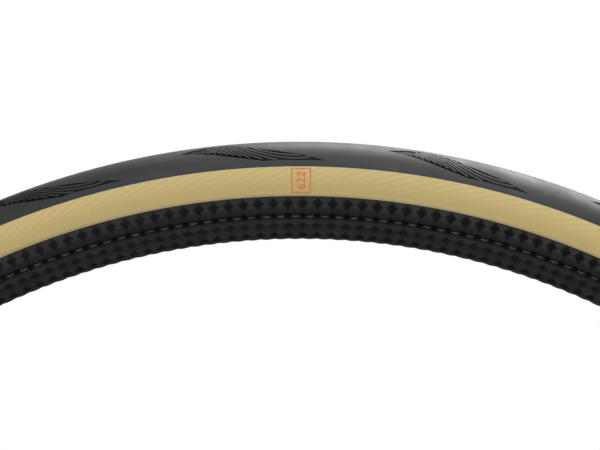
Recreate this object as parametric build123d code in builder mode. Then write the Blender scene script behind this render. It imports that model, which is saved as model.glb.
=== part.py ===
# Bicycle tyre 28-622, tan sidewalls, mounted on a V-section carbon rim hoop with a valve.
# Millimetres, +Z up, origin at the wheel centre, wheel axis along Y.
# Right side is -Y, left side is +Y.  The valve is at six o'clock and points to the hub.
import math
import os

from build123d import *

os.makedirs("parts", exist_ok=True)

# rim seat, the standard 622 bead line
bead_seat_radius = 311.0
flange_height = 5.0
flange_inner_half = 10.7
rim_half_width = 12.75
rim_side_depth = 4.0
rim_flank_radius = 303.5
rim_flank_half = 7.4
rim_nose_radius = 297.55
rim_nose_half = 1.0
rim_corner_round = 2.2
rim_weave_thickness = 0.45
rim_wall = 1.6
bed_floor_thickness = 1.6
well_depth = 3.1
well_half_width = 4.6
well_ledge_half = 6.8
tape_thickness = 0.3
tape_edge_gap = 0.05

# spoke and valve holes
spoke_count = 24
spoke_hole_radius = 1.15
nipple_access_radius = 3.0
valve_hole_radius = 3.25

# tyre section
section_radius = 14.0
tread_edge_angle = 76.8
tread_crown_thickness = 2.0
belt_thickness = 0.6
belt_half_angle = 50.0
casing_side_inset = 0.7
ply_thickness = 0.4
liner_thickness = 0.3
liner_end_height = 3.9
skin_step = 0.07
skin_foot_gap = 0.45
skin_rib_height = 0.12
skin_bow = 0.0195
skin_facets = 9
chafer_thickness = 0.4
seat_clearance = 0.05
bead_core_radius = 0.85
layer_clearance = 0.01
bend_start_depth = 0.1
bend_height = 4.0

# shoulder motifs of the tread
motif_count = 24
motif_first_angle = 6.35
motif_depth = 0.45
motif_outline = [
    (0.0, 31.5),
    (1.2, 23.0),
    (3.0, 17.0),
    (5.7, 37.0),
    (7.2, 46.0),
    (8.2, 51.0),
    (10.2, 62.8),
    (10.5, 65.0),
    (6.05, 65.3),
    (4.2, 56.0),
    (2.4, 43.9),
    (1.2, 37.0),
]

# sidewall label
label_thickness = 0.08
label_first_angle = -0.62
label_angle = 1.46
label_low = 2.0
label_high = 11.2

# valve
stem_radius = 3.0
stem_bore_radius = 1.1
stem_neck_radius = 2.6
stem_reach = 35.5
neck_length = 8.0
foot_radius = 3.9
foot_thickness = 1.2
seal_radius = 4.1
seal_height = 2.2
core_radius = 2.0
core_length = 12.0
core_collar_radius = 2.25
core_collar_height = 4.5
core_flat_half = 1.85
pin_radius = 0.75
pin_above_core = 6.2
pin_plate_radius = 1.6
pin_plate_thickness = 1.1
core_nut_radius = 1.75
core_nut_height = 3.4
lock_nut_radius = 5.6
lock_nut_height = 4.0
lock_nut_grips = 20
o_ring_wire = 0.9
thread_clearance = 0.05
cap_wall = 0.85
cap_end = 1.2
cap_length = 22.0
cap_grips = 16
part_gap = 0.02
arc_facets = 6

flange_radius = bead_seat_radius + flange_height
section_center = bead_seat_radius + section_radius
crown_radius = section_center + section_radius
casing_radius = section_radius - casing_side_inset
casing_center = crown_radius - tread_crown_thickness - belt_thickness - casing_radius
bead_outer = flange_inner_half - seat_clearance - chafer_thickness
bead_center_y = bead_outer - ply_thickness - bead_core_radius
bead_center_r = (
    bead_seat_radius + tape_thickness + seat_clearance + chafer_thickness
    + ply_thickness + bead_core_radius
)


def offset_line(points, distance):
    # parallel of an open polyline, on the left of its direction, with mitred corners
    sides = []
    for (ax, ay), (bx, by) in zip(points[:-1], points[1:]):
        length = math.hypot(bx - ax, by - ay)
        nx, ny = -(by - ay) / length, (bx - ax) / length
        sides.append((ax + nx * distance, ay + ny * distance, bx - ax, by - ay, nx, ny))
    moved = [(sides[0][0], sides[0][1])]
    for (px, py, ux, uy, _, _), (qx, qy, vx, vy, _, _) in zip(sides[:-1], sides[1:]):
        cross = ux * vy - uy * vx
        step = ((qx - px) * vy - (qy - py) * vx) / cross
        moved.append((px + ux * step, py + uy * step))
    ex, ey = points[-1]
    moved.append((ex + sides[-1][4] * distance, ey + sides[-1][5] * distance))
    return moved


def both_sides(half):
    # half profile given from the far +Y end to the mid-plane, mirrored to -Y
    return half + [(r, -y) for r, y in reversed(half)]


# the side wall swings in over the flange by two opposite arcs of bend_angle
bend_low = flange_radius - bend_start_depth
bend_shift = casing_radius - bead_outer
bend_sum = (bend_shift**2 + bend_height**2) / (2 * bend_shift)
bend_angle = math.degrees(2 * math.atan(bend_shift / bend_height))
upper_bend = bend_sum * 0.52
lower_bend = bend_sum - upper_bend


def draw_casing(inset, low_end):
    # outer face of the casing moved inwards by inset, open at the two beads
    CenterArc((casing_center, 0), casing_radius - inset, -90, 180)
    for side in (-1, 1):
        high = side * (casing_radius - inset)
        low = side * (bead_outer - inset)
        Line((casing_center, high), (bend_low + bend_height, high))
        upper_center = (bend_low + bend_height, side * (casing_radius - upper_bend))
        lower_center = (bend_low, side * (bead_outer + lower_bend))
        CenterArc(upper_center, upper_bend - inset, side * 90, side * bend_angle)
        CenterArc(lower_center, lower_bend + inset, side * -90, side * bend_angle)
        Line((bend_low, low), (low_end, low))


# rim outline, +Y flange edge round the nose to the -Y flange edge
rim_outline = both_sides(
    [
        (flange_radius, rim_half_width),
        (flange_radius - flange_height - rim_side_depth, rim_half_width - 0.2),
        (rim_flank_radius, rim_flank_half),
        (rim_nose_radius, rim_nose_half),
    ]
)
hoop_outline = offset_line(rim_outline, rim_weave_thickness)
hoop_outline[0] = (flange_radius, hoop_outline[0][1])
hoop_outline[-1] = (flange_radius, hoop_outline[-1][1])
cavity_outline = offset_line(rim_outline, rim_weave_thickness + rim_wall)
ledge_radius = bead_seat_radius - bed_floor_thickness
well_radius = bead_seat_radius - well_depth
cavity_side = cavity_outline[1][1]
bed_half = [
    (bead_seat_radius, flange_inner_half),
    (bead_seat_radius, well_ledge_half),
    (well_radius, well_half_width),
]

with BuildPart() as rim_hoop:
    with BuildSketch(Plane.XY):
        with BuildLine():
            Polyline(
                *hoop_outline,
                (flange_radius, -flange_inner_half),
                *both_sides(bed_half)[::-1],
                (flange_radius, flange_inner_half),
                close=True,
            )
        make_face()
        with BuildLine():
            Polyline(
                (ledge_radius, cavity_side),
                *cavity_outline[1:-1],
                (ledge_radius, -cavity_side),
                (ledge_radius, -well_ledge_half - 0.4),
                (well_radius - bed_floor_thickness, -well_half_width - 0.4),
                (well_radius - bed_floor_thickness, well_half_width + 0.4),
                (ledge_radius, well_ledge_half + 0.4),
                close=True,
            )
        make_face(mode=Mode.SUBTRACT)
    revolve(axis=Axis.Y)
    for number in range(spoke_count):
        turn = 360.0 / spoke_count * (number + 0.5)
        with Locations(Location((0, 0, 0), (0, turn, 0)) * Location((0, 0, rim_nose_radius))):
            Cylinder(spoke_hole_radius, 6.0, mode=Mode.SUBTRACT)
        with Locations(Location((0, 0, 0), (0, turn, 0)) * Location((0, 0, well_radius))):
            Cylinder(nipple_access_radius, 4.0, mode=Mode.SUBTRACT)
    with Locations((0, 0, -(rim_nose_radius + well_radius) / 2)):
        Cylinder(valve_hole_radius, 24.0, mode=Mode.SUBTRACT)
rim_hoop.part.label = "rim_hoop"
export_step(rim_hoop.part, "parts/rim_hoop.step")

with BuildPart() as rim_weave:
    with BuildSketch(Plane.XY):
        with BuildLine():
            Polyline(*rim_outline, *hoop_outline[::-1], close=True)
        make_face()
    revolve(axis=Axis.Y)
    for number in range(spoke_count):
        turn = 360.0 / spoke_count * (number + 0.5)
        with Locations(Location((0, 0, 0), (0, turn, 0)) * Location((0, 0, rim_nose_radius))):
            Cylinder(spoke_hole_radius, 6.0, mode=Mode.SUBTRACT)
    with Locations((0, 0, -rim_nose_radius)):
        Cylinder(valve_hole_radius, 12.0, mode=Mode.SUBTRACT)
rim_weave.part.label = "rim_weave"
export_step(rim_weave.part, "parts/rim_weave.step")

tape_line = both_sides([(bead_seat_radius, flange_inner_half - tape_edge_gap)] + bed_half[1:])
with BuildPart() as rim_tape:
    with BuildSketch(Plane.XY):
        with BuildLine():
            Polyline(*tape_line, *offset_line(tape_line, tape_thickness)[::-1], close=True)
        make_face()
    revolve(axis=Axis.Y)
    with Locations((0, 0, -well_radius)):
        Cylinder(valve_hole_radius, 6.0, mode=Mode.SUBTRACT)
rim_tape.part.label = "rim_tape"
export_step(rim_tape.part, "parts/rim_tape.step")

# casing: two plies that part round the bead core
bead_spots = [(bead_center_r, bead_center_y), (bead_center_r, -bead_center_y)]
bead_low = bead_center_r - bead_core_radius - ply_thickness
bead_high = bead_center_r + bead_core_radius + 0.6
sheath_radius = bead_core_radius + ply_thickness


def zone(inset, low_end):
    # area inside a casing curve, closed below at low_end
    with BuildSketch(Plane.XY) as area:
        with BuildLine():
            draw_casing(inset, low_end)
            Line((low_end, bead_outer - inset), (low_end, inset - bead_outer))
        make_face()
    return area.sketch


outer_zone = zone(0.0, bead_center_r - 0.6)
inner_zone = zone(2 * ply_thickness, bead_center_r - 0.6)
with BuildSketch(Plane.XY) as middle_area:
    with BuildLine():
        draw_casing(ply_thickness, bead_high)
        Polyline(
            (bead_high, bead_outer - ply_thickness),
            (bead_center_r, bead_center_y),
            (bead_low - 1.0, bead_center_y),
            (bead_low - 1.0, -bead_center_y),
            (bead_center_r, -bead_center_y),
            (bead_high, ply_thickness - bead_outer),
        )
    make_face()
with BuildSketch(Plane.XY) as casing_area:
    add(outer_zone)
    add(inner_zone, mode=Mode.SUBTRACT)
    with Locations(*bead_spots):
        Circle(sheath_radius)
with BuildSketch(Plane.XY) as casing_ring:
    add(casing_area.sketch)
    with Locations(*bead_spots):
        Circle(bead_core_radius, mode=Mode.SUBTRACT)

with BuildPart() as casing_outer_ply:
    with BuildSketch(Plane.XY):
        add(casing_ring.sketch)
        add(middle_area.sketch, mode=Mode.SUBTRACT)
    revolve(axis=Axis.Y)
casing_outer_ply.part.label = "casing_outer_ply"
export_step(casing_outer_ply.part, "parts/casing_outer_ply.step")

with BuildPart() as casing_inner_ply:
    with BuildSketch(Plane.XY):
        add(casing_ring.sketch)
        add(middle_area.sketch, mode=Mode.INTERSECT)
    revolve(axis=Axis.Y)
casing_inner_ply.part.label = "casing_inner_ply"
export_step(casing_inner_ply.part, "parts/casing_inner_ply.step")

with BuildPart() as bead_core_left:
    with BuildSketch(Plane.XY):
        with Locations(bead_spots[0]):
            Circle(bead_core_radius - layer_clearance)
    revolve(axis=Axis.Y)
bead_core_left.part.label = "bead_core_left"
export_step(bead_core_left.part, "parts/bead_core_left.step")

with BuildPart() as bead_core_right:
    with BuildSketch(Plane.XY):
        with Locations(bead_spots[1]):
            Circle(bead_core_radius - layer_clearance)
    revolve(axis=Axis.Y)
bead_core_right.part.label = "bead_core_right"
export_step(bead_core_right.part, "parts/bead_core_right.step")

# inner liner, ends above the beads
liner_end = bead_seat_radius + liner_end_height
liner_inset = 2 * ply_thickness + layer_clearance
with BuildPart() as inner_liner:
    with BuildSketch(Plane.XY):
        add(zone(liner_inset, liner_end))
        add(zone(liner_inset + liner_thickness, liner_end - 1.0), mode=Mode.SUBTRACT)
    revolve(axis=Axis.Y)
inner_liner.part.label = "inner_liner"
export_step(inner_liner.part, "parts/inner_liner.step")

# puncture belt and tread
belt_low = casing_radius + layer_clearance
belt_top = casing_radius + belt_thickness
belt_sin = math.sin(math.radians(belt_half_angle))
belt_cos = math.cos(math.radians(belt_half_angle))
with BuildPart() as puncture_belt:
    with BuildSketch(Plane.XY):
        with BuildLine():
            CenterArc((casing_center, 0), belt_low, -belt_half_angle, 2 * belt_half_angle)
            CenterArc((casing_center, 0), belt_top, -belt_half_angle, 2 * belt_half_angle)
            for side in (-1, 1):
                Line(
                    (casing_center + belt_low * belt_cos, side * belt_low * belt_sin),
                    (casing_center + belt_top * belt_cos, side * belt_top * belt_sin),
                )
        make_face()
    revolve(axis=Axis.Y)
puncture_belt.part.label = "puncture_belt"
export_step(puncture_belt.part, "parts/puncture_belt.step")


def tread_point(angle, height=0.0):
    turn = math.radians(angle)
    reach = section_radius + height
    return (section_center + reach * math.cos(turn), reach * math.sin(turn))


edge_left = tread_point(tread_edge_angle)
edge_right = tread_point(-tread_edge_angle)


def motif_tool(mirror):
    # prism over one motif, kept to the layer motif_depth deep under the tread surface
    places = []
    for turn, angle in motif_outline:
        r, y = tread_point(angle)
        swing = math.radians(turn)
        places.append(Vector(r * math.sin(swing), mirror * y, r * math.cos(swing)))
    r, y = tread_point(46.0)
    swing = math.radians(5.4)
    heart = Vector(r * math.sin(swing), mirror * y, r * math.cos(swing))
    up_y = mirror * math.sin(math.radians(46.0))
    up_r = math.cos(math.radians(46.0))
    normal = Vector(up_r * math.sin(swing), up_y, up_r * math.cos(swing))
    along = Vector(math.cos(swing), 0, -math.sin(swing))
    face = Plane(origin=heart, x_dir=along, z_dir=normal)
    flat = [face.to_local_coords(place) for place in places]
    with BuildPart() as tool:
        with BuildSketch(face):
            with BuildLine():
                Polyline(*[(spot.X, spot.Y) for spot in flat], close=True)
            make_face()
        extrude(amount=9.0, both=True)
        with BuildPart(mode=Mode.INTERSECT):
            with BuildSketch(Plane.ZY):
                with Locations((section_center, 0)):
                    Circle(section_radius + 2.0)
                    Circle(section_radius - motif_depth, mode=Mode.SUBTRACT)
            revolve(axis=Axis.Y, revolution_arc=360)
    return tool.part


motif_right = motif_tool(-1)
motif_left = motif_tool(1)

with BuildPart() as tread:
    with BuildSketch(Plane.XY):
        with BuildLine():
            CenterArc((section_center, 0), section_radius, -tread_edge_angle, 2 * tread_edge_angle)
            Polyline(edge_left, (section_center, 0), edge_right)
        make_face()
        add(outer_zone, mode=Mode.SUBTRACT)
        with BuildLine():
            CenterArc((casing_center, 0), belt_top, -belt_half_angle, 2 * belt_half_angle)
            Polyline(
                (casing_center + belt_top * belt_cos, belt_top * belt_sin),
                (casing_center, 0),
                (casing_center + belt_top * belt_cos, -belt_top * belt_sin),
            )
        make_face(mode=Mode.SUBTRACT)
    revolve(axis=Axis.Y)
    for number in range(motif_count):
        turn = 360.0 / motif_count * number
        with Locations(Location((0, 0, 0), (0, turn + motif_first_angle, 0))):
            add(motif_right, mode=Mode.SUBTRACT)
        with Locations(Location((0, 0, 0), (0, turn + motif_first_angle + 7.5, 0))):
            add(motif_left, mode=Mode.SUBTRACT)
tread.part.label = "tread"
export_step(tread.part, "parts/tread.step")

def facet_arc(center, radius, first, turn, outside):
    # many-sided form of an arc; its sides touch the circle from outside, or its corners lie on it
    step = turn / arc_facets
    corners = [(first, radius)]
    for number in range(arc_facets):
        if outside:
            corners.append((first + step * (number + 0.5), radius / math.cos(math.radians(step / 2))))
        else:
            corners.append((first + step * (number + 1), radius))
    if outside:
        corners.append((first + turn, radius))
    points = []
    for angle, reach in corners:
        swing = math.radians(angle)
        points.append((center[0] + reach * math.cos(swing), center[1] + reach * math.sin(swing)))
    return points


# room the casing takes at the side and round the bead, with flat sides that just clear its arcs
lower_center = (bend_low, bead_outer + lower_bend)
casing_room = (
    facet_arc((casing_center, 0.0), casing_radius, 60.0, 30.0, True)
    + facet_arc((bend_low + bend_height, casing_radius - upper_bend), upper_bend, 90.0, bend_angle, True)
    + facet_arc(lower_center, lower_bend, bend_angle - 90.0, -bend_angle, False)[1:]
    + [(bead_center_r - 0.6, bead_outer)]
    + facet_arc((bead_center_r, bead_center_y), sheath_radius, 125.0, 145.0, True)
    + [(bead_center_r, bead_center_y - sheath_radius - 1.0), (casing_center, 4.0)]
)


def room_area(side):
    with BuildSketch(Plane.XY) as area:
        with BuildLine():
            Polyline(*[(r, side * y) for r, y in casing_room], close=True)
        make_face()
    return area.sketch


# chafer strips round the beads
chafer_low = bead_seat_radius + tape_thickness + seat_clearance
chafer_outer = bead_outer + chafer_thickness
chafer_turn = bend_angle * 0.8
chafer_face = facet_arc(lower_center, lower_bend - chafer_thickness, -90.0, chafer_turn, False)
chafer_back = facet_arc(lower_center, lower_bend + ply_thickness, -90.0, chafer_turn, False)
toe_half = bead_center_y - sheath_radius - 0.35


def chafer_area(side):
    outline = (
        chafer_face
        + chafer_back[::-1]
        + [
            (bead_center_r, bead_outer - ply_thickness),
            (bead_center_r, bead_center_y - sheath_radius),
            (bead_center_r - 0.4, toe_half + 0.1),
            (chafer_low, toe_half),
            (chafer_low, chafer_outer - 0.5),
            (chafer_low + 0.5, chafer_outer),
        ]
    )
    with BuildSketch(Plane.XY) as area:
        with BuildLine():
            Polyline(*[(r, side * y) for r, y in outline], close=True)
        make_face()
        add(room_area(side), mode=Mode.SUBTRACT)
    return area.sketch


chafer_left_area = chafer_area(1)
chafer_right_area = chafer_area(-1)

with BuildPart() as chafer_left:
    with BuildSketch(Plane.XY):
        add(chafer_left_area)
    revolve(axis=Axis.Y)
chafer_left.part.label = "chafer_left"
export_step(chafer_left.part, "parts/chafer_left.step")

with BuildPart() as chafer_right:
    with BuildSketch(Plane.XY):
        add(chafer_right_area)
    revolve(axis=Axis.Y)
chafer_right.part.label = "chafer_right"
export_step(chafer_right.part, "parts/chafer_right.step")

# tan sidewall skins, from the tread edge down to a rib just above the flange
skin_foot = flange_radius + skin_foot_gap
skin_bulge = section_radius - skin_step
skin_end = skin_bulge * math.sin(math.radians(tread_edge_angle))
skin_top = section_center + skin_bulge * math.cos(math.radians(tread_edge_angle))
skin_height = skin_top - skin_foot
skin_outer = []
for number in range(skin_facets + 1):
    reach = skin_top - (skin_height - 1.05) * number / skin_facets
    bow = skin_bow * (reach - skin_top + 0.36 * skin_height) ** 2
    skin_outer.append((reach, skin_bulge - bow))
skin_outer[0] = (skin_top, skin_end)
skin_outer[-1] = (skin_foot + 1.05, skin_bulge - 0.78)
rib_half = skin_bulge - 0.78 + skin_rib_height
skin_base = (skin_foot + 0.9, bead_outer + 0.7)


def skin_area(side, swell):
    with BuildSketch(Plane.XY) as area:
        outer = [(r, side * (y + swell)) for r, y in skin_outer]
        with BuildLine():
            Polyline(
                *outer,
                (skin_foot + 0.85, side * (rib_half + swell)),
                (skin_foot + 0.3, side * (rib_half + swell)),
                (skin_foot, side * (rib_half - 0.35 + swell)),
                (skin_foot, side * (rib_half - 1.3)),
                (skin_base[0], side * skin_base[1]),
                (section_center + (skin_top - section_center) * 0.84, side * skin_end * 0.84),
                close=True,
            )
        make_face()
        add(room_area(side), mode=Mode.SUBTRACT)
        add(chafer_left_area if side > 0 else chafer_right_area, mode=Mode.SUBTRACT)
    return area.sketch


with BuildPart() as sidewall_left:
    with BuildSketch(Plane.XY):
        add(skin_area(1, 0.0))
    revolve(axis=Axis.Y)
sidewall_left.part.label = "sidewall_left"
export_step(sidewall_left.part, "parts/sidewall_left.step")

with BuildPart() as sidewall_right:
    with BuildSketch(Plane.XY):
        add(skin_area(-1, 0.0))
    revolve(axis=Axis.Y)
sidewall_right.part.label = "sidewall_right"
export_step(sidewall_right.part, "parts/sidewall_right.step")


def label_area(side):
    with BuildSketch(Plane.XY) as area:
        add(skin_area(side, label_thickness))
        add(skin_area(side, 0.0), mode=Mode.SUBTRACT)
        with Locations((skin_foot + (label_low + label_high) / 2, side * skin_bulge)):
            Rectangle(label_high - label_low, 3.0, mode=Mode.INTERSECT)
    return area.sketch


label_place = Location((0, 0, 0), (0, label_first_angle - 90.0, 0))

with BuildPart() as label_left_sweep:
    with BuildSketch(Plane.XY):
        add(label_area(1))
    revolve(axis=Axis.Y, revolution_arc=label_angle)

with BuildPart() as sidewall_label_left:
    with Locations(label_place):
        add(label_left_sweep.part)
sidewall_label_left.part.label = "sidewall_label_left"
export_step(sidewall_label_left.part, "parts/sidewall_label_left.step")

with BuildPart() as label_right_sweep:
    with BuildSketch(Plane.XY):
        add(label_area(-1))
    revolve(axis=Axis.Y, revolution_arc=label_angle)

with BuildPart() as sidewall_label_right:
    with Locations(label_place):
        add(label_right_sweep.part)
sidewall_label_right.part.label = "sidewall_label_right"
export_step(sidewall_label_right.part, "parts/sidewall_label_right.step")

# valve at six o'clock, heights are z from the rim outwards to the hub
upright = (Align.CENTER, Align.CENTER, Align.MIN)
seal_top = -(well_radius + tape_thickness) - part_gap
seal_low = seal_top - seal_height
foot_top = seal_low - part_gap
stem_end = stem_reach - rim_nose_radius
neck_low = stem_end - neck_length
ring_radius = stem_radius + thread_clearance + o_ring_wire
ring_level = -math.sqrt(rim_nose_radius**2 - ring_radius**2) + o_ring_wire + part_gap
nut_low = ring_level + o_ring_wire + part_gap
core_low = stem_end - core_length
collar_low = stem_end + part_gap
collar_top = collar_low + core_collar_height
plate_low = core_low - part_gap - pin_plate_thickness
pin_top = collar_top + pin_above_core
core_nut_low = collar_top + part_gap
cap_low = neck_low + part_gap
cap_inner = stem_neck_radius + thread_clearance
cap_outer = cap_inner + cap_wall

with BuildPart() as valve_base_seal:
    with Locations((0, 0, seal_low)):
        Cone(seal_radius - 0.5, seal_radius, seal_height, align=upright)
        Cylinder(stem_radius + part_gap, seal_height, align=upright, mode=Mode.SUBTRACT)
valve_base_seal.part.label = "valve_base_seal"
export_step(valve_base_seal.part, "parts/valve_base_seal.step")

with BuildPart() as valve_stem:
    with Locations((0, 0, foot_top - foot_thickness)):
        Cylinder(foot_radius, foot_thickness, align=upright)
        Cylinder(stem_radius, neck_low - foot_top + foot_thickness, align=upright)
    with Locations((0, 0, neck_low)):
        Cylinder(stem_neck_radius, neck_length, align=upright)
    chamfer(valve_stem.edges().group_by(Axis.Z)[-1], 0.3)
    with Locations((0, 0, foot_top - foot_thickness)):
        Cylinder(stem_bore_radius, stem_end - foot_top + foot_thickness, align=upright, mode=Mode.SUBTRACT)
    with Locations((0, 0, plate_low - 1.0)):
        Cylinder(core_radius + part_gap, stem_end - plate_low + 1.0, align=upright, mode=Mode.SUBTRACT)
valve_stem.part.label = "valve_stem"
export_step(valve_stem.part, "parts/valve_stem.step")

with BuildPart() as valve_o_ring:
    with Locations((0, 0, ring_level)):
        Torus(ring_radius, o_ring_wire)
valve_o_ring.part.label = "valve_o_ring"
export_step(valve_o_ring.part, "parts/valve_o_ring.step")

with BuildPart() as valve_lock_nut:
    with Locations((0, 0, nut_low)):
        Cylinder(lock_nut_radius, lock_nut_height, align=upright)
    chamfer(valve_lock_nut.edges().group_by(Axis.Z)[-1], 0.6)
    chamfer(valve_lock_nut.edges().group_by(Axis.Z)[0], 0.4)
    with Locations((0, 0, nut_low)):
        Cylinder(stem_radius + thread_clearance, lock_nut_height, align=upright, mode=Mode.SUBTRACT)
        with PolarLocations(lock_nut_radius + 0.25, lock_nut_grips):
            Cylinder(0.6, lock_nut_height, align=upright, mode=Mode.SUBTRACT)
valve_lock_nut.part.label = "valve_lock_nut"
export_step(valve_lock_nut.part, "parts/valve_lock_nut.step")

with BuildPart() as valve_core_body:
    with Locations((0, 0, core_low)):
        Cylinder(core_radius, core_length + part_gap, align=upright)
    with Locations((0, 0, collar_low)):
        Cylinder(core_collar_radius, core_collar_height, align=upright)
    chamfer(valve_core_body.edges().group_by(Axis.Z)[-1], 0.3)
    with Locations((0, 0, core_low)):
        Cylinder(pin_radius + thread_clearance, collar_top - core_low, align=upright, mode=Mode.SUBTRACT)
    for side in (-1, 1):
        with Locations((side * (core_flat_half + 1.0), 0, collar_low + 0.8)):
            Box(2.0, 6.0, core_collar_height, align=upright, mode=Mode.SUBTRACT)
valve_core_body.part.label = "valve_core_body"
export_step(valve_core_body.part, "parts/valve_core_body.step")

with BuildPart() as valve_core_pin:
    with Locations((0, 0, plate_low)):
        Cylinder(pin_plate_radius, pin_plate_thickness, align=upright)
        Cylinder(pin_radius, pin_top - plate_low, align=upright)
    chamfer(valve_core_pin.edges().group_by(Axis.Z)[-1], 0.2)
valve_core_pin.part.label = "valve_core_pin"
export_step(valve_core_pin.part, "parts/valve_core_pin.step")

with BuildPart() as valve_core_nut:
    with Locations((0, 0, core_nut_low)):
        Cylinder(core_nut_radius, core_nut_height, align=upright)
    chamfer(valve_core_nut.edges().group_by(Axis.Z)[-1], 0.25)
    with Locations((0, 0, core_nut_low)):
        Cylinder(pin_radius + thread_clearance, core_nut_height, align=upright, mode=Mode.SUBTRACT)
        with PolarLocations(core_nut_radius + 0.1, 12):
            Cylinder(0.22, core_nut_height, align=upright, mode=Mode.SUBTRACT)
valve_core_nut.part.label = "valve_core_nut"
export_step(valve_core_nut.part, "parts/valve_core_nut.step")

with BuildPart() as valve_cap:
    with Locations((0, 0, cap_low)):
        Cylinder(cap_outer, cap_length, align=upright)
    fillet(valve_cap.edges().group_by(Axis.Z)[-1], 1.1)
    with Locations((0, 0, cap_low)):
        Cylinder(cap_inner, cap_length - cap_end, align=upright, mode=Mode.SUBTRACT)
        with PolarLocations(cap_outer + 0.2, cap_grips):
            Cylinder(0.45, cap_length * 0.55, align=upright, mode=Mode.SUBTRACT)
valve_cap.part.label = "valve_cap"
export_step(valve_cap.part, "parts/valve_cap.step")
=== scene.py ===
import math

import bmesh
import bpy
import mathutils
import numpy as np
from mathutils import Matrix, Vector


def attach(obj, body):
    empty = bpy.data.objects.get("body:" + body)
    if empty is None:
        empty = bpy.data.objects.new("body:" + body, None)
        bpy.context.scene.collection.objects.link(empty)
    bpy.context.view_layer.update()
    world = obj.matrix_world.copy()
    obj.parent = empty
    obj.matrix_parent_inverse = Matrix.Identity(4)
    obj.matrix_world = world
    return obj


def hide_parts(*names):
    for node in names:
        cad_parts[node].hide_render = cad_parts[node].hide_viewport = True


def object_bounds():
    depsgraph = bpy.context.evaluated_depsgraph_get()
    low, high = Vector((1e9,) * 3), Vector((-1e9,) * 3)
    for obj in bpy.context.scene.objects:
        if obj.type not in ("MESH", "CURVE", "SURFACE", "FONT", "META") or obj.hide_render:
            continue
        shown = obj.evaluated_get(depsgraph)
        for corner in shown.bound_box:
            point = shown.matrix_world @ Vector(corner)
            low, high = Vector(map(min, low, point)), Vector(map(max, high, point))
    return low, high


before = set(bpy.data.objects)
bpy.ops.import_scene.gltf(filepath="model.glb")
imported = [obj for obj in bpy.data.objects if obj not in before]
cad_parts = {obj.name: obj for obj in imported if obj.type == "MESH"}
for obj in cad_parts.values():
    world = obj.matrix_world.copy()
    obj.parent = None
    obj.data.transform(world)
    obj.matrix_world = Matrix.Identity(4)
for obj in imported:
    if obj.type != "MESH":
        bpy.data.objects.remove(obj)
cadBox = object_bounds()
mm = 0.001
print("frame loaded:", len(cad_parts), "CAD nodes")


# ---- mesh helpers ----

def ringPoint(turn, radius, side):
    # points at a turn (degrees clockwise from the top, seen from the right) and a radius, side along the axle
    swing = np.radians(turn)
    return np.stack([radius * np.sin(swing), side + 0.0 * swing, radius * np.cos(swing)], axis=-1) * mm


def makeMesh(name, points, faces, uv=None, sharp=35.0):
    # points (n, 3) and faces (m, 3 or 4) as arrays; uv is one pair for each face corner
    corners = faces.shape[1]
    mesh = bpy.data.meshes.new(name)
    mesh.vertices.add(len(points))
    mesh.vertices.foreach_set("co", points.astype(np.float32).ravel())
    mesh.loops.add(faces.size)
    mesh.loops.foreach_set("vertex_index", faces.astype(np.int32).ravel())
    mesh.polygons.add(len(faces))
    mesh.polygons.foreach_set("loop_start", np.arange(0, faces.size, corners, dtype=np.int32))
    mesh.polygons.foreach_set("use_smooth", np.ones(len(faces), dtype=bool))
    if uv is not None:
        mesh.uv_layers.new(name="surface").data.foreach_set("uv", uv.astype(np.float32).ravel())
    mesh.update(calc_edges=True)
    mesh.validate()
    if sharp:
        mesh.set_sharp_from_angle(angle=math.radians(sharp))
    piece = bpy.data.objects.new(name, mesh)
    bpy.context.scene.collection.objects.link(piece)
    return piece


def outward(points, faces):
    # a closed mesh encloses a positive volume when its faces point outwards, otherwise they are turned
    a, b, c = points[faces[:, 0]], points[faces[:, 1]], points[faces[:, 2]]
    volume = np.einsum("ij,ij->i", a, np.cross(b, c)).sum()
    if faces.shape[1] == 4:
        d = points[faces[:, 3]]
        volume += np.einsum("ij,ij->i", a, np.cross(c, d)).sum()
    return volume > 0


def hoopMesh(name, grid, around=None, along=None, sharp=35.0):
    # grid (rows, columns, 3) closed both ways, like a doughnut; around and along are the uv of its lines
    rows, columns = grid.shape[:2]
    i, j = np.meshgrid(np.arange(rows), np.arange(columns), indexing="ij")
    iNext, jNext = (i + 1) % rows, (j + 1) % columns
    row, rowNext = i * columns, iNext * columns
    faces = np.stack([row + j, row + jNext, rowNext + jNext, rowNext + j], axis=-1)
    uv = None
    if along is not None:
        across = np.append(along, along[-1])
        u = np.stack([around[j], around[j + 1], around[j + 1], around[j]], axis=-1)
        v = np.stack([across[i], across[i], across[i + 1], across[i + 1]], axis=-1)
        uv = np.stack([u, v], axis=-1).reshape(-1, 4, 2)
    faces, points = faces.reshape(-1, 4), grid.reshape(-1, 3)
    if not outward(points, faces):
        faces = faces[:, ::-1]
        uv = uv[:, ::-1] if uv is not None else None
    return makeMesh(name, points, faces, uv, sharp)


def smoothStep(value, low, high):
    share = np.clip((value - low) / (high - low), 0.0, 1.0)
    return share * share * (3.0 - 2.0 * share)


# ---- material helpers ----

def addNode(tree, kind, inputs=None, **options):
    made = tree.nodes.new(kind)
    for key, value in options.items():
        setattr(made, key, value)
    for key, value in (inputs or {}).items():
        if isinstance(value, bpy.types.NodeSocket):
            tree.links.new(value, made.inputs[key])
        else:
            made.inputs[key].default_value = value
    return made


def calc(tree, operation, first, second=0.0, third=0.0):
    return addNode(tree, "ShaderNodeMath", {0: first, 1: second, 2: third}, operation=operation).outputs[0]


def mixColour(tree, share, first, second):
    made = addNode(tree, "ShaderNodeMix", {0: share, 6: first, 7: second}, data_type="RGBA", blend_type="MIX")
    return made.outputs[2]


def ramp(tree, value, low, high, outLow=0.0, outHigh=1.0):
    inputs = {0: value, 1: low, 2: high, 3: outLow, 4: outHigh}
    return addNode(tree, "ShaderNodeMapRange", inputs, interpolation_type="SMOOTHSTEP").outputs[0]


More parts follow.
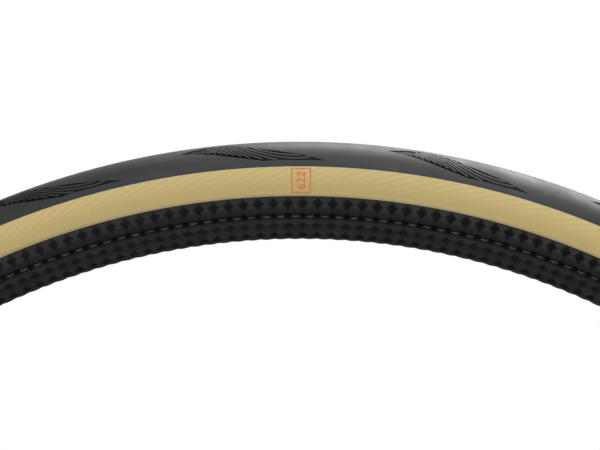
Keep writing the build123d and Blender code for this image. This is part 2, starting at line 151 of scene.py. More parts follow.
def startGroup(name, inputs, outputs):
    tree = bpy.data.node_groups.new(name, "ShaderNodeTree")
    for label, kind, value in inputs:
        made = tree.interface.new_socket(name=label, in_out="INPUT", socket_type=kind)
        if value is not None:
            made.default_value = value
    for label, kind in outputs:
        tree.interface.new_socket(name=label, in_out="OUTPUT", socket_type=kind)
    return tree, tree.nodes.new("NodeGroupInput").outputs, tree.nodes.new("NodeGroupOutput").inputs


def startMaterial(name, **sockets):
    material = bpy.data.materials.new(name)
    material.use_nodes = True
    tree = material.node_tree
    shader = tree.nodes["Principled BSDF"]
    for key, value in sockets.items():
        shader.inputs[key.replace("_", " ")].default_value = value
    return material, tree, shader


def useGroup(tree, group, **inputs):
    made = tree.nodes.new("ShaderNodeGroup")
    made.node_tree = group
    for key, value in inputs.items():
        target = made.inputs[key[0].upper() + key[1:]]
        if isinstance(value, bpy.types.NodeSocket):
            tree.links.new(value, target)
        else:
            target.default_value = value
    return made.outputs


def bumpInto(tree, shader, height, distance, strength):
    made = addNode(tree, "ShaderNodeBump", {"Height": height, "Distance": distance, "Strength": strength})
    tree.links.new(made.outputs[0], shader.inputs["Normal"])


def surfaceMap(tree):
    # the surface map of a swept piece: distance round the wheel and distance along its profile
    uv = addNode(tree, "ShaderNodeUVMap", uv_map="surface").outputs[0]
    return addNode(tree, "ShaderNodeSeparateXYZ", {0: uv}).outputs


def awayFrom(tree, value, middle):
    return calc(tree, "ABSOLUTE", calc(tree, "SUBTRACT", value, middle))


def wear(piece, *materials):
    piece.data.materials.clear()
    for material in materials:
        piece.data.materials.append(material)


# rubber grain: noise at a given Scale, plus pits where a second noise is high; both are between 0 and 1
grainGroup, grainIn, grainOut = startGroup(
    "moulded grain",
    [("Vector", "NodeSocketVector", None), ("Scale", "NodeSocketFloat", 900.0),
     ("Pits", "NodeSocketFloat", 0.5)],
    [("Height", "NodeSocketFloat"), ("Cloud", "NodeSocketFloat")],
)
fine = addNode(grainGroup, "ShaderNodeTexNoise", {
    "Vector": grainIn["Vector"], "Scale": grainIn["Scale"], "Detail": 3.0, "Roughness": 0.6})
coarseScale = calc(grainGroup, "MULTIPLY", grainIn["Scale"], 0.06)
coarse = addNode(grainGroup, "ShaderNodeTexNoise", {
    "Vector": grainIn["Vector"], "Scale": coarseScale, "Detail": 4.0, "Roughness": 0.6})
pitted = ramp(grainGroup, fine.outputs[0], 0.62, 0.75)
pitDepth = calc(grainGroup, "MULTIPLY", pitted, grainIn["Pits"])
fineHeight = calc(grainGroup, "MULTIPLY_ADD", pitDepth, -1.0, fine.outputs[0])
grainGroup.links.new(fineHeight, grainOut["Height"])
grainGroup.links.new(coarse.outputs[0], grainOut["Cloud"])

# cords: ridges that run along one direction of the map; Slant turns them, Count is cords per unit
cordGroup, cordIn, cordOut = startGroup(
    "cord ridges",
    [("Around", "NodeSocketFloat", 0.0), ("Along", "NodeSocketFloat", 0.0), ("Count", "NodeSocketFloat", 1.0),
     ("Slant", "NodeSocketFloat", 0.0), ("Unevenness", "NodeSocketFloat", 0.2)],
    [("Ridge", "NodeSocketFloat"), ("Gap", "NodeSocketFloat")],
)
cordPlace = calc(cordGroup, "MULTIPLY_ADD", cordIn["Around"], cordIn["Slant"], cordIn["Along"])
cordWave = addNode(cordGroup, "ShaderNodeTexNoise", {
    "Vector": addNode(cordGroup, "ShaderNodeCombineXYZ", {0: cordIn["Around"], 1: cordIn["Along"]}).outputs[0],
    "Scale": 0.45, "Detail": 2.0})
cordSwing = calc(cordGroup, "SUBTRACT", cordWave.outputs[0], 0.5)
cordShift = calc(cordGroup, "MULTIPLY", cordSwing, cordIn["Unevenness"])
cordTurn = calc(cordGroup, "MULTIPLY", calc(cordGroup, "ADD", cordPlace, cordShift), cordIn["Count"])
cordLocal = awayFrom(cordGroup, calc(cordGroup, "FRACT", cordTurn), 0.5)
cordGroup.links.new(ramp(cordGroup, cordLocal, 0.5, 0.0), cordOut["Ridge"])
cordGroup.links.new(ramp(cordGroup, cordLocal, 0.36, 0.5), cordOut["Gap"])
print("shared shader groups made")


# ---- tread cap with hatched shoulder motifs ----

treadSize = {
    "sectionCenter": 325.0, "sectionRadius": 14.0, "edgeAngle": 76.8,
    "innerCenter": 323.1, "innerBelt": 13.93, "innerCasing": 13.33, "beltAngle": 50.0,
    "motifs": 24, "motifPitch": 15.0, "firstTurn": 6.35, "leftShift": 7.5, "columns": 30,
    "depth": 0.34, "spineDepth": 1.0, "spineWidth": 0.55, "wallWidth": 0.03,
}
motifLeft = {"angle": [17.0, 23.0, 31.5, 37.0, 43.9, 56.0, 65.3],
             "turn": [2.85, 1.2, 0.0, 1.2, 2.4, 4.2, 6.05]}
motifRight = {"angle": [17.0, 37.0, 46.0, 51.0, 62.8, 65.3],
              "turn": [3.15, 5.7, 7.2, 8.2, 10.2, 10.5]}


def sectionPoint(turn, angle, height, side):
    # the tread surface: a circle of the section radius about the section center, swept round the axle
    lean = np.radians(angle)
    reach = treadSize["sectionRadius"] + height
    return ringPoint(turn, treadSize["sectionCenter"] + reach * np.cos(lean), side * reach * np.sin(lean))


def treadHalf(side):
    # rows from the crown to the edge; columns follow the motif's two edges, and even out towards the crown
    size = treadSize
    angle = np.array([0, 3.5, 7, 10.5, 14, 17, 18.2, 20.5, 23, 26, 29, 30.3, 31.5, 32.7, 34, 35.5,
                      37, 40, 43.9, 47, 50, 53, 56, 59, 62, 64.6, 65.3, 67.5, 70, 73, 75.4, 76.4, 76.8])
    left = np.interp(angle, motifLeft["angle"], motifLeft["turn"])
    right = np.interp(angle, motifRight["angle"], motifRight["turn"])
    width, wall = right - left, size["wallWidth"]
    spine = np.minimum(size["spineWidth"], 0.25 * width) * (0.15 + 0.85 * smoothStep(angle, 29.5, 32.0))
    floor = np.linspace(0, 1, 8)[None, :]
    start, stop = (left + spine + wall)[:, None], (right - wall)[:, None]
    inner = start + (stop - start) * floor
    landStart, landStop = (right + wall)[:, None], (left + size["motifPitch"] - wall)[:, None]
    land = landStart + (landStop - landStart) * np.linspace(0, 1, 20)[None, :-1]
    edges = np.stack([left - wall, left, left + spine], axis=1)
    columns = np.concatenate([edges, inner, land], axis=1)
    even = 0.25 + 0.5 * np.arange(size["columns"])[None, :]
    share = smoothStep(angle, 0.0, 17.0)[:, None]
    columns = even * (1 - share) + columns * share
    inField = ((angle > 17.5) & (angle < 65.0)).astype(float)
    ease = smoothStep(angle, 17.0, 21.0) * inField
    spineOn = smoothStep(angle, 30.0, 31.6) * inField
    depth = np.zeros((len(angle), size["columns"]))
    depth[:, 1:11] = (size["depth"] * ease)[:, None]
    depth[:, 1:3] += ((size["spineDepth"] - size["depth"]) * spineOn)[:, None]
    number = np.arange(size["motifs"])[None, :, None] * size["motifPitch"]
    shift = size["firstTurn"] + (size["leftShift"] if side > 0 else 0.0)
    turn = (columns[:, None, :] + number + shift).reshape(len(angle), -1)
    deep = np.repeat(depth[:, None, :], size["motifs"], axis=1).reshape(len(angle), -1)
    points = sectionPoint(turn, angle[:, None] + 0 * turn, -deep, side)
    points = np.concatenate([points, deep[:, :, None]], axis=2)
    return np.roll(points, size["columns"] // 2, axis=1) if side > 0 else points


def treadInside(columns):
    # the inner face over belt and casing, from the +Y edge to the -Y edge
    size = treadSize
    lean = np.array([67.0, 58.0, 50.3, 49.7, 33, 16, 0, -16, -33, -49.7, -50.3, -58.0, -67.0])
    reach = np.where(np.abs(lean) < size["beltAngle"], size["innerBelt"], size["innerCasing"])
    turn = (np.arange(columns) * 360.0 / columns + size["firstTurn"] + 0.25)[None, :]
    lean = np.radians(lean)[:, None]
    reach = reach[:, None]
    points = ringPoint(turn + 0 * lean, size["innerCenter"] + reach * np.cos(lean), reach * np.sin(lean))
    return np.concatenate([points, np.zeros(points.shape[:2] + (1,))], axis=2)


rightRows, leftRows = treadHalf(-1), treadHalf(1)
treadGrid = np.concatenate([rightRows[::-1], leftRows[1:], treadInside(rightRows.shape[1])])
treadCap = hoopMesh("treadCap", treadGrid[..., :3], sharp=38.0)
recess = treadCap.data.attributes.new("recess", "FLOAT", "POINT")
recess.data.foreach_set("value", treadGrid[..., 3].astype(np.float32).ravel())
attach(treadCap, "wheel")
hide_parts("tread")

hatchSize = {"steepTurn": 2.8, "steepLean": 53.0, "leanPerTurn": 9.4, "leanRange": (-20.0, 42.0), "pitch": 1.6,
             "baseShare": 0.74, "topShare": 0.56, "top": -0.05, "base": -0.6, "sections": 14,
             "meanRadius": 334.0, "clear": 0.35, "firstTurn": 1.9, "angles": (18.6, 63.6), "lines": 34,
             "shortest": 50}


def hatchRidges(side):
    # ridges on the unrolled shoulder: their lean falls evenly with the turn, within a range, and each one's
    # drop is the running sum of the tangent of its lean; line k is shifted down by k pitches, and only its
    # longest stretch between the motif's edges is kept
    size, tread = hatchSize, treadSize
    turn = np.linspace(0.0, 10.5, 2101)
    lean = size["steepLean"] - size["leanPerTurn"] * (turn - size["steepTurn"])
    lean = np.radians(lean.clip(*size["leanRange"]))
    fall = np.cumsum(np.tan(lean)) * math.radians(turn[1]) * size["meanRadius"]
    clear = math.degrees(size["clear"] / size["meanRadius"])
    bars = []
    for number in range(size["lines"]):
        down = fall - fall[-1] + number * size["pitch"]
        angle = np.degrees(down / tread["sectionRadius"])
        left = np.interp(angle, motifLeft["angle"], motifLeft["turn"])
        left = left + tread["spineWidth"] + tread["wallWidth"]
        right = np.interp(angle, motifRight["angle"], motifRight["turn"])
        inside = (turn > left + clear) & (turn < right - clear) & (turn > size["firstTurn"])
        inside &= (angle > size["angles"][0]) & (angle < size["angles"][1])
        marks = np.flatnonzero(np.diff(np.concatenate([[0], inside.astype(int), [0]])))
        stretches = sorted(zip(marks[1::2] - marks[::2], marks[::2], marks[1::2] - 1))
        if not stretches or stretches[-1][0] < size["shortest"]:
            continue
        at = np.linspace(stretches[-1][1], stretches[-1][2], size["sections"]).round().astype(int)
        tilt = lean[at][:, None]
        room = size["pitch"] * np.cos(tilt) / 2.0
        shares = [-size["baseShare"], -size["topShare"], size["topShare"], size["baseShare"]]
        across = room * np.array(shares)
        flat = np.radians(turn[at])[:, None] * size["meanRadius"] - across * np.sin(tilt)
        bars.append(np.stack([flat, down[at][:, None] + across * np.cos(tilt)], axis=-1))
    flat, down = np.moveaxis(np.array(bars), -1, 0)
    height = np.array([size["base"], size["top"], size["top"], size["base"]])
    start = (np.arange(tread["motifs"]) * tread["motifPitch"])[:, None, None, None]
    place = np.degrees(flat / size["meanRadius"])[None] + start
    place = place + tread["firstTurn"] + (tread["leftShift"] if side > 0 else 0.0)
    angle = np.degrees(down / tread["sectionRadius"])[None] + 0 * place
    points = sectionPoint(place, angle, height + 0 * place, side)
    total, count = points.shape[0] * points.shape[1], size["sections"]
    points = points.reshape(total * count * 4, 3)
    base = (np.arange(total) * count * 4)[:, None, None]
    step, corner = np.arange(count - 1)[None, :, None] * 4, np.arange(4)[None, None, :]
    after = (corner + 1) % 4
    near, far = base + step, base + step + 4
    walls = np.stack([near + corner, near + after, far + after, far + corner], axis=-1)
    ends = base[:, :, 0] + np.array([[3, 2, 1, 0]])
    caps = base[:, :, 0] + (count - 1) * 4 + np.array([[0, 1, 2, 3]])
    faces = np.concatenate([walls.reshape(-1, 4), ends, caps])
    if not outward(points, faces):
        faces = faces[:, ::-1]
    return makeMesh("hatchRidgesLeft" if side > 0 else "hatchRidgesRight", points, faces, sharp=30.0)


hatchPieces = [hatchRidges(-1), hatchRidges(1)]
for piece in hatchPieces:
    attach(piece, "wheel")
    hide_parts("tread")
print("tread built:", len(treadCap.data.polygons), "faces and", [len(p.data.polygons) for p in hatchPieces])

treadLook = {"tone": (0.0135, 0.0137, 0.0150, 1), "dusty": (0.025, 0.0245, 0.024, 1),
             "recessShade": (0.0025, 0.0025, 0.0025, 1), "rough": 0.56, "specular": 0.42}
treadRubber, tree, shader = startMaterial("treadRubber", Roughness=treadLook["rough"], IOR=1.5)
shader.inputs["Specular IOR Level"].default_value = treadLook["specular"]
place = addNode(tree, "ShaderNodeTexCoord").outputs["Object"]
grain = useGroup(tree, grainGroup, vector=place, scale=1500.0, pits=0.4)
recessDepth = addNode(tree, "ShaderNodeAttribute", attribute_name="recess").outputs["Fac"]
tone = mixColour(tree, ramp(tree, grain["Cloud"], 0.35, 0.7, 0.0, 0.6), treadLook["tone"], treadLook["dusty"])
# painted shade: where the recess attribute is deep (the motif field, and most of all the spine) the tone turns
# near black and the specular level falls
tone = mixColour(tree, ramp(tree, recessDepth, 0.02, 0.5), tone, treadLook["recessShade"])
tree.links.new(tone, shader.inputs["Base Color"])
specular = ramp(tree, recessDepth, 0.02, 0.5, treadLook["specular"], 0.03)
tree.links.new(specular, shader.inputs["Specular IOR Level"])
rough = ramp(tree, grain["Cloud"], 0.3, 0.7, treadLook["rough"] - 0.05, treadLook["rough"] + 0.08)
tree.links.new(rough, shader.inputs["Roughness"])
bumpInto(tree, shader, grain["Height"], 0.00012, 0.35)
wear(treadCap, treadRubber)
for piece in hatchPieces:
    wear(piece, treadRubber)


# ---- tan sidewall skins ----

skinSize = {"top": (328.18, 13.56), "bulge": (323.96, 13.93), "hollow": 0.0195, "low": 316.95, "columns": 720,
            "meanRadius": 322.0}


def skinHalf(radius):
    # half-width of the outside: bulge minus hollow times the squared distance from the bulge
    return skinSize["bulge"][1] - skinSize["hollow"] * (radius - skinSize["bulge"][0]) ** 2


def skinProfile():
    # the outside, then the bead-line rib and the back
    radius = np.linspace(skinSize["top"][0], skinSize["low"], 22)
    half = skinHalf(radius)
    rib = [(316.84, 13.03), (316.68, 13.12), (316.45, 13.17), (316.15, 13.17), (315.9, 13.11), (315.74, 13.0),
           (315.80, 12.9), (316.1, 12.87), (316.45, 12.85), (316.45, 12.6),
           (316.45, 12.0), (317.3, 11.25), (317.87, 11.92), (318.25, 12.56), (318.99, 13.13), (319.9, 13.33),
           (323.1, 13.33), (325.6, 13.1), (327.72, 12.55)]
    return np.concatenate([np.stack([radius, half], axis=1), np.array(rib)])


def skinMesh(side):
    # the profile swept round the axle; the map counts millimetres round and along the profile
    profile = skinProfile()
    turn = np.linspace(0, 360, skinSize["columns"], endpoint=False)[None, :]
    grid = ringPoint(turn + 0 * profile[:, :1], profile[:, :1] + 0 * turn, side * profile[:, 1:] + 0 * turn)
    run = np.concatenate([[0.0], np.cumsum(np.hypot(*np.diff(profile, axis=0).T))])
    around = np.linspace(0, 2 * math.pi * skinSize["meanRadius"], skinSize["columns"] + 1)
    return hoopMesh("tanSidewallLeft" if side > 0 else "tanSidewallRight", grid, around, run, sharp=50.0)


skinPieces = {"sidewall_right": skinMesh(-1), "sidewall_left": skinMesh(1)}
for node, piece in skinPieces.items():
    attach(piece, "wheel")
    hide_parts(node)
print("sidewall skins built")

tanLook = {"light": (0.60, 0.470, 0.195, 1), "deep": (0.53, 0.405, 0.160, 1), "low": (0.48, 0.365, 0.140, 1),
           "ribTone": (0.34, 0.285, 0.155, 1),
           "lean": math.radians(22.0), "bandPitch": 2.4, "threadPitch": 0.42}
tanRubber, tree, shader = startMaterial("tanRubber", Roughness=0.5, IOR=1.45)
spot = surfaceMap(tree)
place = addNode(tree, "ShaderNodeTexCoord").outputs["Object"]
lean, slant = math.cos(tanLook["lean"]), math.tan(tanLook["lean"])
bands = useGroup(tree, cordGroup, around=spot[0], along=spot[1], count=lean / tanLook["bandPitch"],
                 slant=slant, unevenness=0.8)
threads = useGroup(tree, cordGroup, around=spot[0], along=spot[1], count=lean / tanLook["threadPitch"],
                   slant=slant, unevenness=0.12)
grain = useGroup(tree, grainGroup, vector=place, scale=1100.0, pits=0.2)
tone = mixColour(tree, ramp(tree, bands["Ridge"], 0.15, 0.85, 0.0, 0.6), tanLook["light"], tanLook["deep"])
# painted shade: the tan darkens down the profile towards the bead, as the lower wall turns away from the light
tone = mixColour(tree, ramp(tree, spot[1], 1.0, 11.3), tone, tanLook["low"])
tone = mixColour(tree, ramp(tree, grain["Cloud"], 0.35, 0.75, 0.0, 0.25), tone, tanLook["deep"])
tone = mixColour(tree, ramp(tree, threads["Gap"], 0.0, 1.0, 0.0, 0.30), tone, tanLook["deep"])
tone = mixColour(tree, ramp(tree, spot[1], 11.38, 11.5), tone, tanLook["ribTone"])
tree.links.new(tone, shader.inputs["Base Color"])
tree.links.new(ramp(tree, grain["Cloud"], 0.3, 0.7, 0.44, 0.56), shader.inputs["Roughness"])
height = calc(tree, "MULTIPLY_ADD", bands["Ridge"], 1.2, calc(tree, "MULTIPLY", threads["Ridge"], 0.5))
height = calc(tree, "MULTIPLY_ADD", grain["Height"], 0.6, height)
bumpInto(tree, shader, height, 0.00006, 0.6)
for piece in skinPieces.values():
    wear(piece, tanRubber)


# ---- woven rim ply ----

weaveSize = {"cells": 314, "steps": 6, "pitch": 6.2, "relief": 0.30, "darkTurn": 0.264, "thickness": 0.36,
             "corner": 1.6,
             "profile": [(297.55, 0.0), (297.55, 0.9), (303.5, 7.4), (307.0, 12.45), (316.0, 12.68)]}


def weaveLine(run):
    # rim outline by distance from the nose: the polyline's point, averaged over a short window that rounds
    # its corners
    points = np.array(weaveSize["profile"])
    points = np.concatenate([(points * [1, -1])[:0:-1], points])
    place = np.concatenate([[0.0], np.cumsum(np.hypot(*np.diff(points, axis=0).T))])
    place -= place[-1] / 2
    window = np.linspace(-1, 1, 9)[None, :] * weaveSize["corner"]
    inside = np.clip(place[-1] - np.abs(run), 0.0, weaveSize["corner"])[:, None] / weaveSize["corner"]
    at = run[:, None] + window * inside
    line = [np.interp(at, place, points[:, column]).mean(1) for column in (0, 1)]
    return np.stack(line, axis=1), place[-1]


def weavePly():
    # plain weave laid at 45 degrees: cells are unit squares in p = x + y and q = x - y; even cells run along
    # p, odd ones along q; each tow rises as a cosine along its cell and a flatter cosine across it
    size = weaveSize
    length = weaveLine(np.zeros(1))[1]
    rows = np.arange(-24, 25)
    run = rows * size["pitch"] / size["steps"]
    run[0], run[-1] = -length, length
    line = weaveLine(run)[0]
    ahead, behind = weaveLine(np.minimum(run + 0.4, length))[0], weaveLine(np.maximum(run - 0.4, -length))[0]
    slope = ahead - behind
    slope /= np.hypot(slope[:, 0], slope[:, 1])[:, None]
    normal = np.stack([-slope[:, 1], slope[:, 0]], axis=1)
    columns = size["cells"] * size["steps"]
    x = (np.arange(columns) / size["steps"])[None, :]
    y = (rows / size["steps"] - 0.5)[:, None]
    p, q = x + y, x - y
    pCell, qCell = np.floor(p + 0.5 - 1e-9), np.floor(q + 0.5 - 1e-9)
    even = (pCell + qCell) % 2 < 0.5
    a, b = np.cos(math.pi * (p - pCell)).clip(0, 1), np.cos(math.pi * (q - qCell)).clip(0, 1)
    rise = size["relief"] * (np.where(even, a ** 0.8 * b ** 0.35, b ** 0.8 * a ** 0.35) - 0.62)
    fade = smoothStep(length - np.abs(run), 0.0, 0.8)[:, None]
    rise = rise * fade
    turn = size["darkTurn"] + np.arange(columns)[None, :] * 360.0 / columns
    face = line[:, None, :] + normal[:, None, :] * rise[:, :, None]
    back = line - normal * size["thickness"]
    back[0, 0], back[-1, 0] = line[0, 0], line[-1, 0]
    back = back[[0, 5, 12, 17, 20, 22, 24, 26, 28, 31, 36, 43, 48]]
    front = ringPoint(turn + 0 * rise, face[..., 0], face[..., 1])
    rear = ringPoint(turn + 0 * back[:, :1], back[:, :1] + 0 * turn, back[:, 1:] + 0 * turn)
    grid = np.concatenate([front, rear[::-1]])
    total, wide = grid.shape[:2]
    i, j = np.meshgrid(np.arange(total), np.arange(columns), indexing="ij")
    iNext, jNext = (i + 1) % total, (j + 1) % columns
    row, rowNext = i * columns, iNext * columns
    corner = np.stack([row + j, row + jNext, rowNext + jNext, rowNext + j], axis=-1)
    yRow = np.concatenate([rows / size["steps"] - 0.5, np.full(len(back), rows[-1] / size["steps"] - 0.5)])
    yNext = np.append(yRow[1:], yRow[0])
    middleY = (yRow[i] + yNext[i]) / 2
    pMiddle = (j + 0.5) / size["steps"] + middleY
    falling = np.abs((pMiddle % 1.0) - 0.5) < 0.5 / size["steps"]
    first = np.where(falling[..., None], corner[..., [0, 1, 3]], corner[..., [0, 1, 2]])
    second = np.where(falling[..., None], corner[..., [1, 2, 3]], corner[..., [0, 2, 3]])
    u = np.stack([j, j + 1, j + 1, j], axis=-1) / size["steps"]
    v = np.stack([yRow[i], yRow[i], yNext[i], yNext[i]], axis=-1) + 0.5
    uv = np.stack([u, v], axis=-1)
    uvFirst = np.where(falling[..., None, None], uv[..., [0, 1, 3], :], uv[..., [0, 1, 2], :])
    uvSecond = np.where(falling[..., None, None], uv[..., [1, 2, 3], :], uv[..., [0, 2, 3], :])
    faces = np.concatenate([first.reshape(-1, 3), second.reshape(-1, 3)])
    pairs = np.concatenate([uvFirst.reshape(-1, 3, 2), uvSecond.reshape(-1, 3, 2)])
    points = grid.reshape(-1, 3)
    if not outward(points, faces):
        faces, pairs = faces[:, ::-1], pairs[:, ::-1]
    return makeMesh("wovenRimPly", points, faces, pairs, sharp=24.0)


wovenRim = weavePly()
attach(wovenRim, "wheel")
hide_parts("rim_weave")
print("woven rim ply built:", len(wovenRim.data.polygons), "faces")

weaveLook = {"dark": (0.0012, 0.0012, 0.0012, 1), "light": (0.029, 0.0286, 0.0286, 1),
             "sheenTone": (0.048, 0.047, 0.046, 1), "deepTone": (0.006, 0.006, 0.006, 1),
             "fibres": 15.0, "cornerLine": 2.56}
weaveCarbon, tree, shader = startMaterial("weaveCarbon", Roughness=0.42, IOR=1.5)
spot = surfaceMap(tree)
place = addNode(tree, "ShaderNodeTexCoord").outputs["Object"]
yPlace = calc(tree, "SUBTRACT", spot[1], 0.5)
p = calc(tree, "ADD", spot[0], yPlace)
q = calc(tree, "SUBTRACT", spot[0], yPlace)
pCell = calc(tree, "FLOOR", calc(tree, "ADD", p, 0.5))
qCell = calc(tree, "FLOOR", calc(tree, "ADD", q, 0.5))
odd = calc(tree, "ABSOLUTE", calc(tree, "MODULO", calc(tree, "ADD", pCell, qCell), 2.0))
fibreP = calc(tree, "SINE", calc(tree, "MULTIPLY", q, 2 * math.pi * weaveLook["fibres"]))
fibreQ = calc(tree, "SINE", calc(tree, "MULTIPLY", p, 2 * math.pi * weaveLook["fibres"]))
fibre = addNode(tree, "ShaderNodeMix", {0: odd, 2: fibreP, 3: fibreQ}).outputs[0]
cellPlace = addNode(tree, "ShaderNodeCombineXYZ", {0: pCell, 1: qCell}).outputs[0]
strand = addNode(tree, "ShaderNodeTexNoise", {"Vector": cellPlace, "Scale": 3.7, "Detail": 0.0})
grain = useGroup(tree, grainGroup, vector=place, scale=1600.0, pits=0.3)
# painted reflection: the light tone on the odd cells and the dark tone on the even cells stand in for the
# different sheen of fibres running each way
tone = mixColour(tree, odd, weaveLook["dark"], weaveLook["light"])
tone = mixColour(tree, ramp(tree, strand.outputs[0], 0.3, 0.7, 0.0, 0.3), tone, weaveLook["deepTone"])
# painted sheen: streaks along the fibres of the light cells
sheenShare = calc(tree, "MULTIPLY", ramp(tree, fibre, -0.2, 1.0, 0.0, 0.5), odd)
tone = mixColour(tree, sheenShare, tone, weaveLook["sheenTone"])
edge = calc(tree, "MAXIMUM", awayFrom(tree, p, pCell), awayFrom(tree, q, qCell))
# painted sheen: the dark cells fade to the light tone at their rims, so they read as small soft spots
rim = calc(tree, "MULTIPLY", calc(tree, "SUBTRACT", 1.0, odd), ramp(tree, edge, 0.24, 0.5, 0.0, 0.8))
tone = mixColour(tree, rim, tone, weaveLook["light"])
# painted shade: the flank and nose below the flange are darkened towards the dark tone and their specular level
# lowered
flankShade = ramp(tree, calc(tree, "ABSOLUTE", spot[1]), 3.5, 3.0)
tone = mixColour(tree, calc(tree, "MULTIPLY", flankShade, 0.45), tone, weaveLook["dark"])
# painted shade: a band along the bend between flange and flank is darkened
bend = awayFrom(tree, calc(tree, "ABSOLUTE", spot[1]), weaveLook["cornerLine"])
tone = mixColour(tree, ramp(tree, bend, 0.34, 0.12, 0.0, 0.7), tone, weaveLook["dark"])
tree.links.new(ramp(tree, flankShade, 0.0, 1.0, 0.10, 0.035), shader.inputs["Specular IOR Level"])
tree.links.new(tone, shader.inputs["Base Color"])
tree.links.new(ramp(tree, grain["Cloud"], 0.3, 0.7, 0.38, 0.5), shader.inputs["Roughness"])
height = calc(tree, "MULTIPLY_ADD", grain["Height"], 0.4, fibre)
bumpInto(tree, shader, height, 0.00004, 0.5)
wear(wovenRim, weaveCarbon)


# ---- sidewall size mark: an outlined box with plain digits ----

markSize = {"turnStart": -0.60, "turnStop": 0.86, "low": 317.1, "high": 327.5, "line": 0.46, "lift": 0.06,
            "gap": 0.02, "digits": "622", "digitTurn": 0.13, "digitSize": 4.9, "spacing": 1.05, "weight": 0.06,
            "stretch": 1.02, "foot": -0.1}


def onSkin(flat, side, lift):
    # flat points: x is millimetres round the wheel, y is the radius; they are laid on the skin, lifted a little
    turn = np.degrees(flat[:, 0] / skinSize["meanRadius"])
    return ringPoint(turn, flat[:, 1], side * (skinHalf(flat[:, 1]) + lift))


def raisedStrip(corners, side, pieces=14):
    # a thin bar between four flat corners, its top on the skin plus lift, its foot just under the skin
    along = np.linspace(0, 1, pieces)[:, None, None]
    low, high = corners[[0, 1]][None], corners[[3, 2]][None]
    flat = (low + (high - low) * along).reshape(-1, 2)
    top, foot = [onSkin(flat, side, markSize[key]).reshape(pieces, 2, 3) for key in ("lift", "foot")]
    points = np.stack([foot[:, 0], top[:, 0], top[:, 1], foot[:, 1]], axis=1)
    step, corner = np.arange(pieces - 1)[:, None] * 4, np.arange(4)[None, :]
    after = (corner + 1) % 4
    walls = np.stack([step + corner, step + after, step + 4 + after, step + 4 + corner], axis=-1)
    faces = np.concatenate([walls.reshape(-1, 4), [[3, 2, 1, 0]], (pieces - 1) * 4 + np.array([[0, 1, 2, 3]])])
    points = points.reshape(-1, 3)
    return points, faces if outward(points, faces) else faces[:, ::-1]


def markFrame(side):
    size = markSize
    x0, x1 = [math.radians(size[key]) * skinSize["meanRadius"] for key in ("turnStart", "turnStop")]
    y0, y1, w = size["low"], size["high"], size["line"]
    inner, outer = x0 + w + size["gap"], x1 - w - size["gap"]
    bars = [
        [(x0, y0), (x0 + w, y0), (x0 + w, y1), (x0, y1)],
        [(x1 - w, y0), (x1, y0), (x1, y1), (x1 - w, y1)],
        [(inner, y0), (inner, y0 + w), (outer, y0 + w), (outer, y0)],
        [(inner, y1 - w), (inner, y1), (outer, y1), (outer, y1 - w)],
    ]
    points, faces, count = [], [], 0
    for bar in bars:
        p, f = raisedStrip(np.array(bar), side)
        points.append(p)
        faces.append(f + count)
        count += len(p)
    name = "sizeMarkFrameLeft" if side > 0 else "sizeMarkFrameRight"
    return makeMesh(name, np.concatenate(points), np.concatenate(faces), sharp=30.0)


def markDigits(side):
    # plain digits, turned a quarter turn so they read along the radius, then laid on the skin
    size = markSize
    text = bpy.data.curves.new("sizeDigits", "FONT")
    text.body = size["digits"]
    text.align_x, text.align_y = "CENTER", "CENTER"
    text.size = size["digitSize"]
    text.space_character = size["spacing"]
    text.offset = size["weight"]
    text.extrude = 0.5
    holder = bpy.data.objects.new("sizeDigitsText", text)
    bpy.context.scene.collection.objects.link(holder)
    bpy.context.view_layer.update()
    mesh = bpy.data.meshes.new_from_object(holder.evaluated_get(bpy.context.evaluated_depsgraph_get()))
    bpy.data.objects.remove(holder)
    flat = np.empty(len(mesh.vertices) * 3, dtype=np.float32)
    mesh.vertices.foreach_get("co", flat)
    flat = flat.reshape(-1, 3).astype(float)
    middle = (flat[:, :2].max(0) + flat[:, :2].min(0)) / 2
    reading = flat[:, :2] - middle
    mirror = -1.0 if side > 0 else 1.0
    center = (size["low"] + size["high"]) / 2
    across = math.radians(size["digitTurn"]) * skinSize["meanRadius"] - mirror * reading[:, 1]
    radius = center + reading[:, 0] * size["stretch"]
    lift = np.where(flat[:, 2] > 0, size["lift"], size["foot"])
    points = onSkin(np.stack([across, radius], axis=1), side, lift)
    mesh.vertices.foreach_set("co", points.astype(np.float32).ravel())
    mesh.update()
    piece = bpy.data.objects.new("sizeDigitsLeft" if side > 0 else "sizeDigitsRight", mesh)
    bpy.context.scene.collection.objects.link(piece)
    bm = bmesh.new()
    bm.from_mesh(mesh)
    bmesh.ops.remove_doubles(bm, verts=bm.verts, dist=0.000001)
    bmesh.ops.recalc_face_normals(bm, faces=bm.faces)
    bm.to_mesh(mesh)
    bm.free()
    return piece


markPieces = []
for side, node in ((-1, "sidewall_label_right"), (1, "sidewall_label_left")):
    for piece in (markFrame(side), markDigits(side)):
        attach(piece, "wheel")
        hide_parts(node)
        markPieces.append(piece)
print("size marks built")

markTones = [(0.70, 0.145, 0.02, 1), (0.62, 0.20, 0.05, 1)]
markInk, tree, shader = startMaterial("markInk", Roughness=0.45)
place = addNode(tree, "ShaderNodeTexCoord").outputs["Object"]
grain = useGroup(tree, grainGroup, vector=place, scale=1400.0, pits=0.3)
tone = mixColour(tree, ramp(tree, grain["Height"], 0.35, 0.7, 0.0, 0.5), *markTones)
tree.links.new(tone, shader.inputs["Base Color"])
bumpInto(tree, shader, grain["Height"], 0.00003, 0.4)
for piece in markPieces:
    wear(piece, markInk)


# ---- finishes of the carried-over CAD pieces ----

